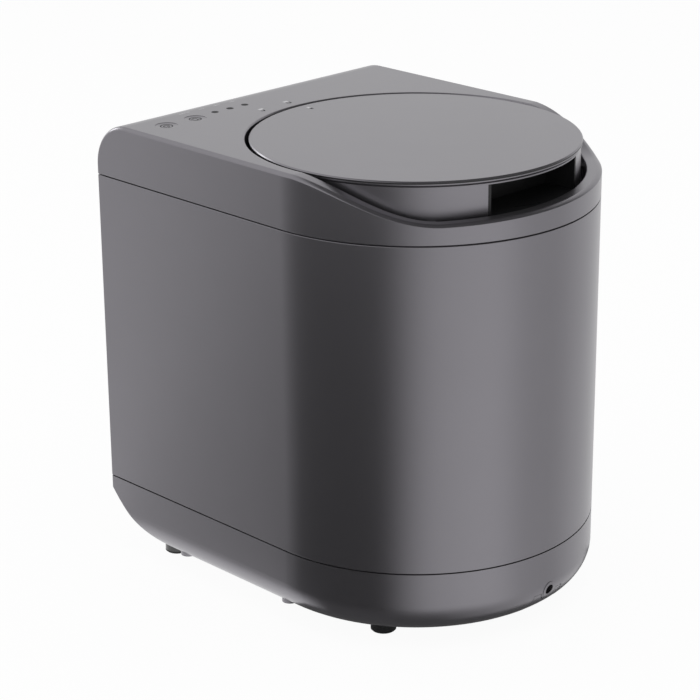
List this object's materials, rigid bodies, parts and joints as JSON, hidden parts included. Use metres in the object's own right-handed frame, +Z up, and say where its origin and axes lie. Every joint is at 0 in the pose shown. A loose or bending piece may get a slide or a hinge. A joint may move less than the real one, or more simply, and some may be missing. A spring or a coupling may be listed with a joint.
{
  "type": "electric food waste composter",
  "caption": "Countertop electric food waste composter with a round twist-off lid, scooped rim, lift-out bucket with mixing rotor, geared drive, fan and pull-out filter drawer.",
  "frame": {"origin": "centre of the bounding box's footprint, on the floor under the feet", "axes": "+Z up; the flat front with the controls above it faces -Y; the half-round end with the scooped rim faces +Y; +X to the right of a user who faces +Y"},
  "size_m": [0.27, 0.3373, 0.348],
  "materials": {
    "silver_panel": "satin",
    "dark_cover": "satin",
    "grey_shell": "satin",
    "black_plastic": "matt",
    "grey_plastic": "matt",
    "white_plastic": "matt",
    "rubber": "matt",
    "steel": "brushed",
    "aluminium": "cast, satin",
    "coated": "non-stick coating",
    "brass": "machined",
    "nylon": "matt",
    "wool": "fibrous",
    "smoked": "glossy",
    "board": "matt",
    "charcoal": "granular"
  },
  "bodies": {
    "casing": {"base": "grey_plastic", "cord_bush": "grey_plastic", "cord_clamp_cover": "grey_plastic", "feet": "black_plastic", "foot_pads": "rubber", "base_screws": "steel", "main_shell": "grey_shell", "top_cover": "dark_cover", "cover_screws": "steel", "heating_well": "aluminium", "well_screws": "steel", "heater_band": "brass", "well_thermostat": "white_plastic", "insulation_jacket": "wool", "shaft_seal": "rubber", "gearbox_housing": "aluminium", "gearbox_cover": "aluminium", "gearbox_screws": "steel", "shaft_bearings": "steel", "reduction_pin": "steel", "drive_motor": "steel", "filter_case": "grey_plastic", "fan_frame": "black_plastic", "exhaust_duct": "grey_plastic", "control_board": "board", "board_screws": "steel", "indicator_lenses": "smoked", "power_board": "board"},
    "motor_rotor": {"drive_pinion": "steel"},
    "reduction": {"reduction_gear": "nylon"},
    "output": {"output_gear": "nylon", "drive_shaft": "steel"},
    "fan_rotor": {"fan_impeller": "white_plastic"},
    "filter_drawer": {"filter_tray": "black_plastic", "drawer_front": "grey_shell", "carbon_cartridge": "charcoal", "filter_seal": "rubber"},
    "power_button": {"power_key": "silver_panel"},
    "mode_button": {"mode_key": "silver_panel"},
    "bucket": {"bucket": "coated", "shaft_bush": "brass", "fixed_blades": "steel"},
    "rotor": {"mixing_rotor": "steel", "rotor_dog": "brass"},
    "lid_seal": {"lid_inner_plate": "aluminium", "lid_gasket": "rubber", "lid_pivot": "steel"},
    "lid": {"lid_plate": "silver_panel", "lid_drum": "silver_panel", "pocket_liner": "black_plastic", "lid_base_plate": "grey_plastic", "lid_screws": "steel"}
  },
  "joints": [
    {"name": "lid_lift", "type": "slide", "parent": "casing", "child": "lid_seal", "axis": [0, 0, 1], "range_m": [0, 0.09]},
    {"name": "lid_turn", "type": "hinge", "parent": "lid_seal", "child": "lid", "pos_m": [0, 0.0335, 0.348], "axis": [0, 0, 1], "range_deg": [0, 12]},
    {"name": "bucket_lift", "type": "slide", "parent": "casing", "child": "bucket", "axis": [0, 0, 1], "range_m": [0, 0.013]},
    {"name": "rotor_spin", "type": "hinge", "parent": "bucket", "child": "rotor", "pos_m": [0, 0.0335, 0.14], "axis": [0, 0, 1], "continuous": true},
    {"name": "output_spin", "type": "hinge", "parent": "casing", "child": "output", "pos_m": [0, 0.0335, 0.043], "axis": [0, 0, 1], "continuous": true},
    {"name": "reduction_spin", "type": "hinge", "parent": "casing", "child": "reduction", "pos_m": [0, -0.0295, 0.033], "axis": [0, 0, 1], "continuous": true},
    {"name": "motor_spin", "type": "hinge", "parent": "casing", "child": "motor_rotor", "pos_m": [0, -0.0745, 0.033], "axis": [0, 0, 1], "continuous": true},
    {"name": "fan_spin", "type": "hinge", "parent": "casing", "child": "fan_rotor", "pos_m": [0, -0.1195, 0.2], "axis": [0, 0, 1], "continuous": true},
    {"name": "filter_drawer_slide", "type": "slide", "parent": "casing", "child": "filter_drawer", "axis": [0, -1, 0], "range_m": [0, 0.095]},
    {"name": "power_key_press", "type": "slide", "parent": "casing", "child": "power_button", "axis": [0, 0, -1], "range_m": [0, 0.0006], "stiffness_N_per_m": 2000, "springref_m": -0.0002},
    {"name": "mode_key_press", "type": "slide", "parent": "casing", "child": "mode_button", "axis": [0, 0, -1], "range_m": [0, 0.0006], "stiffness_N_per_m": 2000, "springref_m": -0.0002}
  ],
  "couplings": [
    {"joint": "output_spin", "follows": "rotor_spin", "ratio": 1},
    {"joint": "reduction_spin", "follows": "rotor_spin", "ratio": -3},
    {"joint": "motor_spin", "follows": "rotor_spin", "ratio": 9}
  ]
}
